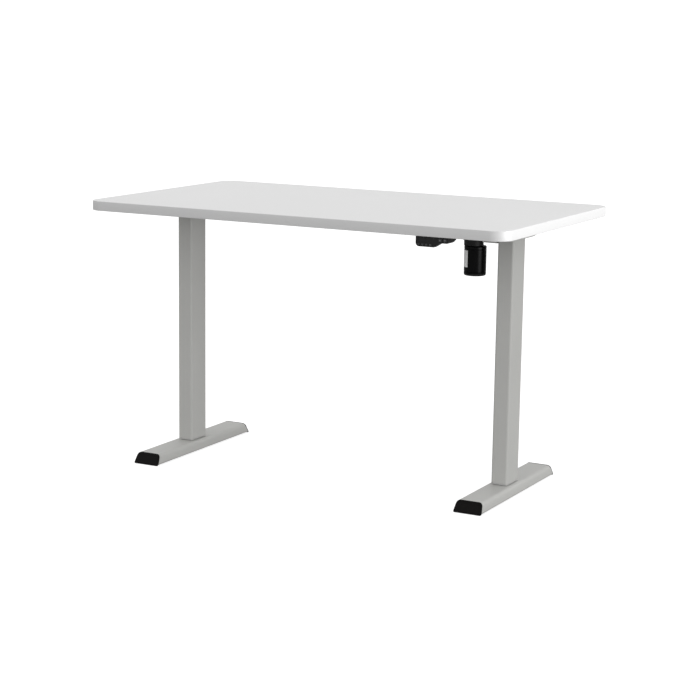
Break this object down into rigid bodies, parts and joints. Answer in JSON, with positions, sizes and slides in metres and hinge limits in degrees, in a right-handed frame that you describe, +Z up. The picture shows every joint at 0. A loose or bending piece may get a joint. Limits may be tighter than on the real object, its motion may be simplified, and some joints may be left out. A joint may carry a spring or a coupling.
{
  "type": "height adjustable standing desk",
  "caption": "Electric sit-stand desk: rectangular white top with rounded corners on two telescopic grey columns and flat floor feet, with motor and handset under the top.",
  "frame": {"origin": "on the floor, under the centre of the desktop, with the desk at its lowest height", "axes": "+Z up, +X along the desktop to the side with the motor, -Y towards the seated person"},
  "size_m": [1.2, 0.7, 0.72],
  "materials": {
    "white_laminate": "matt melamine faced board",
    "grey_powder_coat": "fine textured light grey powder coat",
    "black_plastic": "fine moulded texture",
    "black_steel": "satin black paint",
    "zinc_steel": "zinc plated",
    "bare_steel": "turned and oiled",
    "nylon": "natural",
    "grey_plastic": "moulded to match the frame",
    "bronze": "machined",
    "rubber": "matt",
    "smoked_window": "polished dark window",
    "key_plastic": "soft matt keys",
    "circuit_board": "solder resist"
  },
  "bodies": {
    "left_base": {"left_foot": "grey_powder_coat", "left_foot_front_cap": "black_plastic", "left_foot_rear_cap": "black_plastic", "left_inner_tube": "grey_powder_coat", "left_anchor_plate": "zinc_steel", "left_upper_glide": "nylon", "left_spindle_nut": "nylon"},
    "desk_top": {"desktop": "white_laminate", "left_outer_tube": "grey_powder_coat", "left_lower_glide": "grey_plastic", "left_gear_case": "black_plastic", "left_spindle_bearing": "bare_steel", "left_side_bracket": "grey_powder_coat", "right_outer_tube": "grey_powder_coat", "right_lower_glide": "grey_plastic", "right_gear_case": "black_plastic", "right_spindle_bearing": "bare_steel", "right_side_bracket": "grey_powder_coat", "front_rail": "grey_powder_coat", "rear_rail": "grey_powder_coat", "motor_can": "black_steel", "motor_end_cap": "black_plastic", "drive_housing": "black_plastic", "drive_cover": "black_plastic", "motor_mount": "grey_powder_coat", "control_box_base": "black_plastic", "control_box_cover": "black_plastic", "control_board": "circuit_board", "power_inlet": "black_plastic", "handset_shell": "black_plastic", "handset_face": "black_plastic", "display_window": "smoked_window", "motor_lead": "rubber", "handset_lead": "rubber"},
    "right_base": {"right_foot": "grey_powder_coat", "right_foot_front_cap": "black_plastic", "right_foot_rear_cap": "black_plastic", "right_inner_tube": "grey_powder_coat", "right_anchor_plate": "zinc_steel", "right_upper_glide": "nylon", "right_spindle_nut": "nylon"},
    "cross_shaft": {"hex_shaft": "zinc_steel", "worm_wheel": "bronze", "left_shaft_pinion": "bare_steel", "right_shaft_pinion": "bare_steel"},
    "left_screw": {"left_spindle": "bare_steel", "left_spindle_gear": "bare_steel"},
    "right_screw": {"right_spindle": "bare_steel", "right_spindle_gear": "bare_steel"},
    "motor_shaft": {"motor_worm": "bare_steel"},
    "up_button": {"up_button": "key_plastic"},
    "down_button": {"down_button": "key_plastic"},
    "memory_1_button": {"memory_1_button": "key_plastic"},
    "memory_2_button": {"memory_2_button": "key_plastic"},
    "memory_3_button": {"memory_3_button": "key_plastic"},
    "set_button": {"set_button": "key_plastic"},
    "left_front_leveller": {"left_front_leveller": "rubber"},
    "left_rear_leveller": {"left_rear_leveller": "rubber"},
    "right_front_leveller": {"right_front_leveller": "rubber"},
    "right_rear_leveller": {"right_rear_leveller": "rubber"}
  },
  "joints": [
    {"name": "lift", "type": "slide", "parent": "left_base", "child": "desk_top", "axis": [0, 0, 1], "range_m": [0, 0.46]},
    {"name": "right_leg_slide", "type": "slide", "parent": "desk_top", "child": "right_base", "axis": [0, 0, -1], "range_m": [0, 0.46]},
    {"name": "cross_shaft_turn", "type": "hinge", "parent": "desk_top", "child": "cross_shaft", "pos_m": [0, -0.027, 0.672], "axis": [-1, 0, 0], "range_deg": [0, 16561]},
    {"name": "left_screw_turn", "type": "hinge", "parent": "desk_top", "child": "left_screw", "pos_m": [-0.478, -0.027, 0.4], "axis": [0, 0, 1], "range_deg": [0, 16561]},
    {"name": "right_screw_turn", "type": "hinge", "parent": "desk_top", "child": "right_screw", "pos_m": [0.478, -0.027, 0.4], "axis": [0, 0, 1], "range_deg": [0, 16561]},
    {"name": "motor_turn", "type": "hinge", "parent": "desk_top", "child": "motor_shaft", "pos_m": [0.3874, -0.047, 0.672], "axis": [0, 0, -1], "range_deg": [0, 264976]},
    {"name": "up_button_press", "type": "slide", "parent": "desk_top", "child": "up_button", "axis": [0, 1, 0], "range_m": [0, 0.001], "stiffness_N_per_m": 800, "springref_m": -0.001},
    {"name": "down_button_press", "type": "slide", "parent": "desk_top", "child": "down_button", "axis": [0, 1, 0], "range_m": [0, 0.001], "stiffness_N_per_m": 800, "springref_m": -0.001},
    {"name": "memory_1_button_press", "type": "slide", "parent": "desk_top", "child": "memory_1_button", "axis": [0, 1, 0], "range_m": [0, 0.001], "stiffness_N_per_m": 800, "springref_m": -0.001},
    {"name": "memory_2_button_press", "type": "slide", "parent": "desk_top", "child": "memory_2_button", "axis": [0, 1, 0], "range_m": [0, 0.001], "stiffness_N_per_m": 800, "springref_m": -0.001},
    {"name": "memory_3_button_press", "type": "slide", "parent": "desk_top", "child": "memory_3_button", "axis": [0, 1, 0], "range_m": [0, 0.001], "stiffness_N_per_m": 800, "springref_m": -0.001},
    {"name": "set_button_press", "type": "slide", "parent": "desk_top", "child": "set_button", "axis": [0, 1, 0], "range_m": [0, 0.001], "stiffness_N_per_m": 800, "springref_m": -0.001},
    {"name": "left_front_leveller_turn", "type": "hinge", "parent": "left_base", "child": "left_front_leveller", "pos_m": [-0.478, -0.219, 0], "axis": [0, 0, 1], "range_deg": [0, 2304]},
    {"name": "left_rear_leveller_turn", "type": "hinge", "parent": "left_base", "child": "left_rear_leveller", "pos_m": [-0.478, 0.177, 0], "axis": [0, 0, 1], "range_deg": [0, 2304]},
    {"name": "right_front_leveller_turn", "type": "hinge", "parent": "right_base", "child": "right_front_leveller", "pos_m": [0.478, -0.219, 0], "axis": [0, 0, 1], "range_deg": [0, 2304]},
    {"name": "right_rear_leveller_turn", "type": "hinge", "parent": "right_base", "child": "right_rear_leveller", "pos_m": [0.478, 0.177, 0], "axis": [0, 0, 1], "range_deg": [0, 2304]}
  ],
  "couplings": [
    {"joint": "right_leg_slide", "follows": "lift", "ratio": 1},
    {"joint": "cross_shaft_turn", "follows": "lift", "rad_per_m": 628.32},
    {"joint": "left_screw_turn", "follows": "lift", "rad_per_m": 628.32},
    {"joint": "right_screw_turn", "follows": "lift", "rad_per_m": 628.32},
    {"joint": "motor_turn", "follows": "lift", "rad_per_m": 10053}
  ]
}
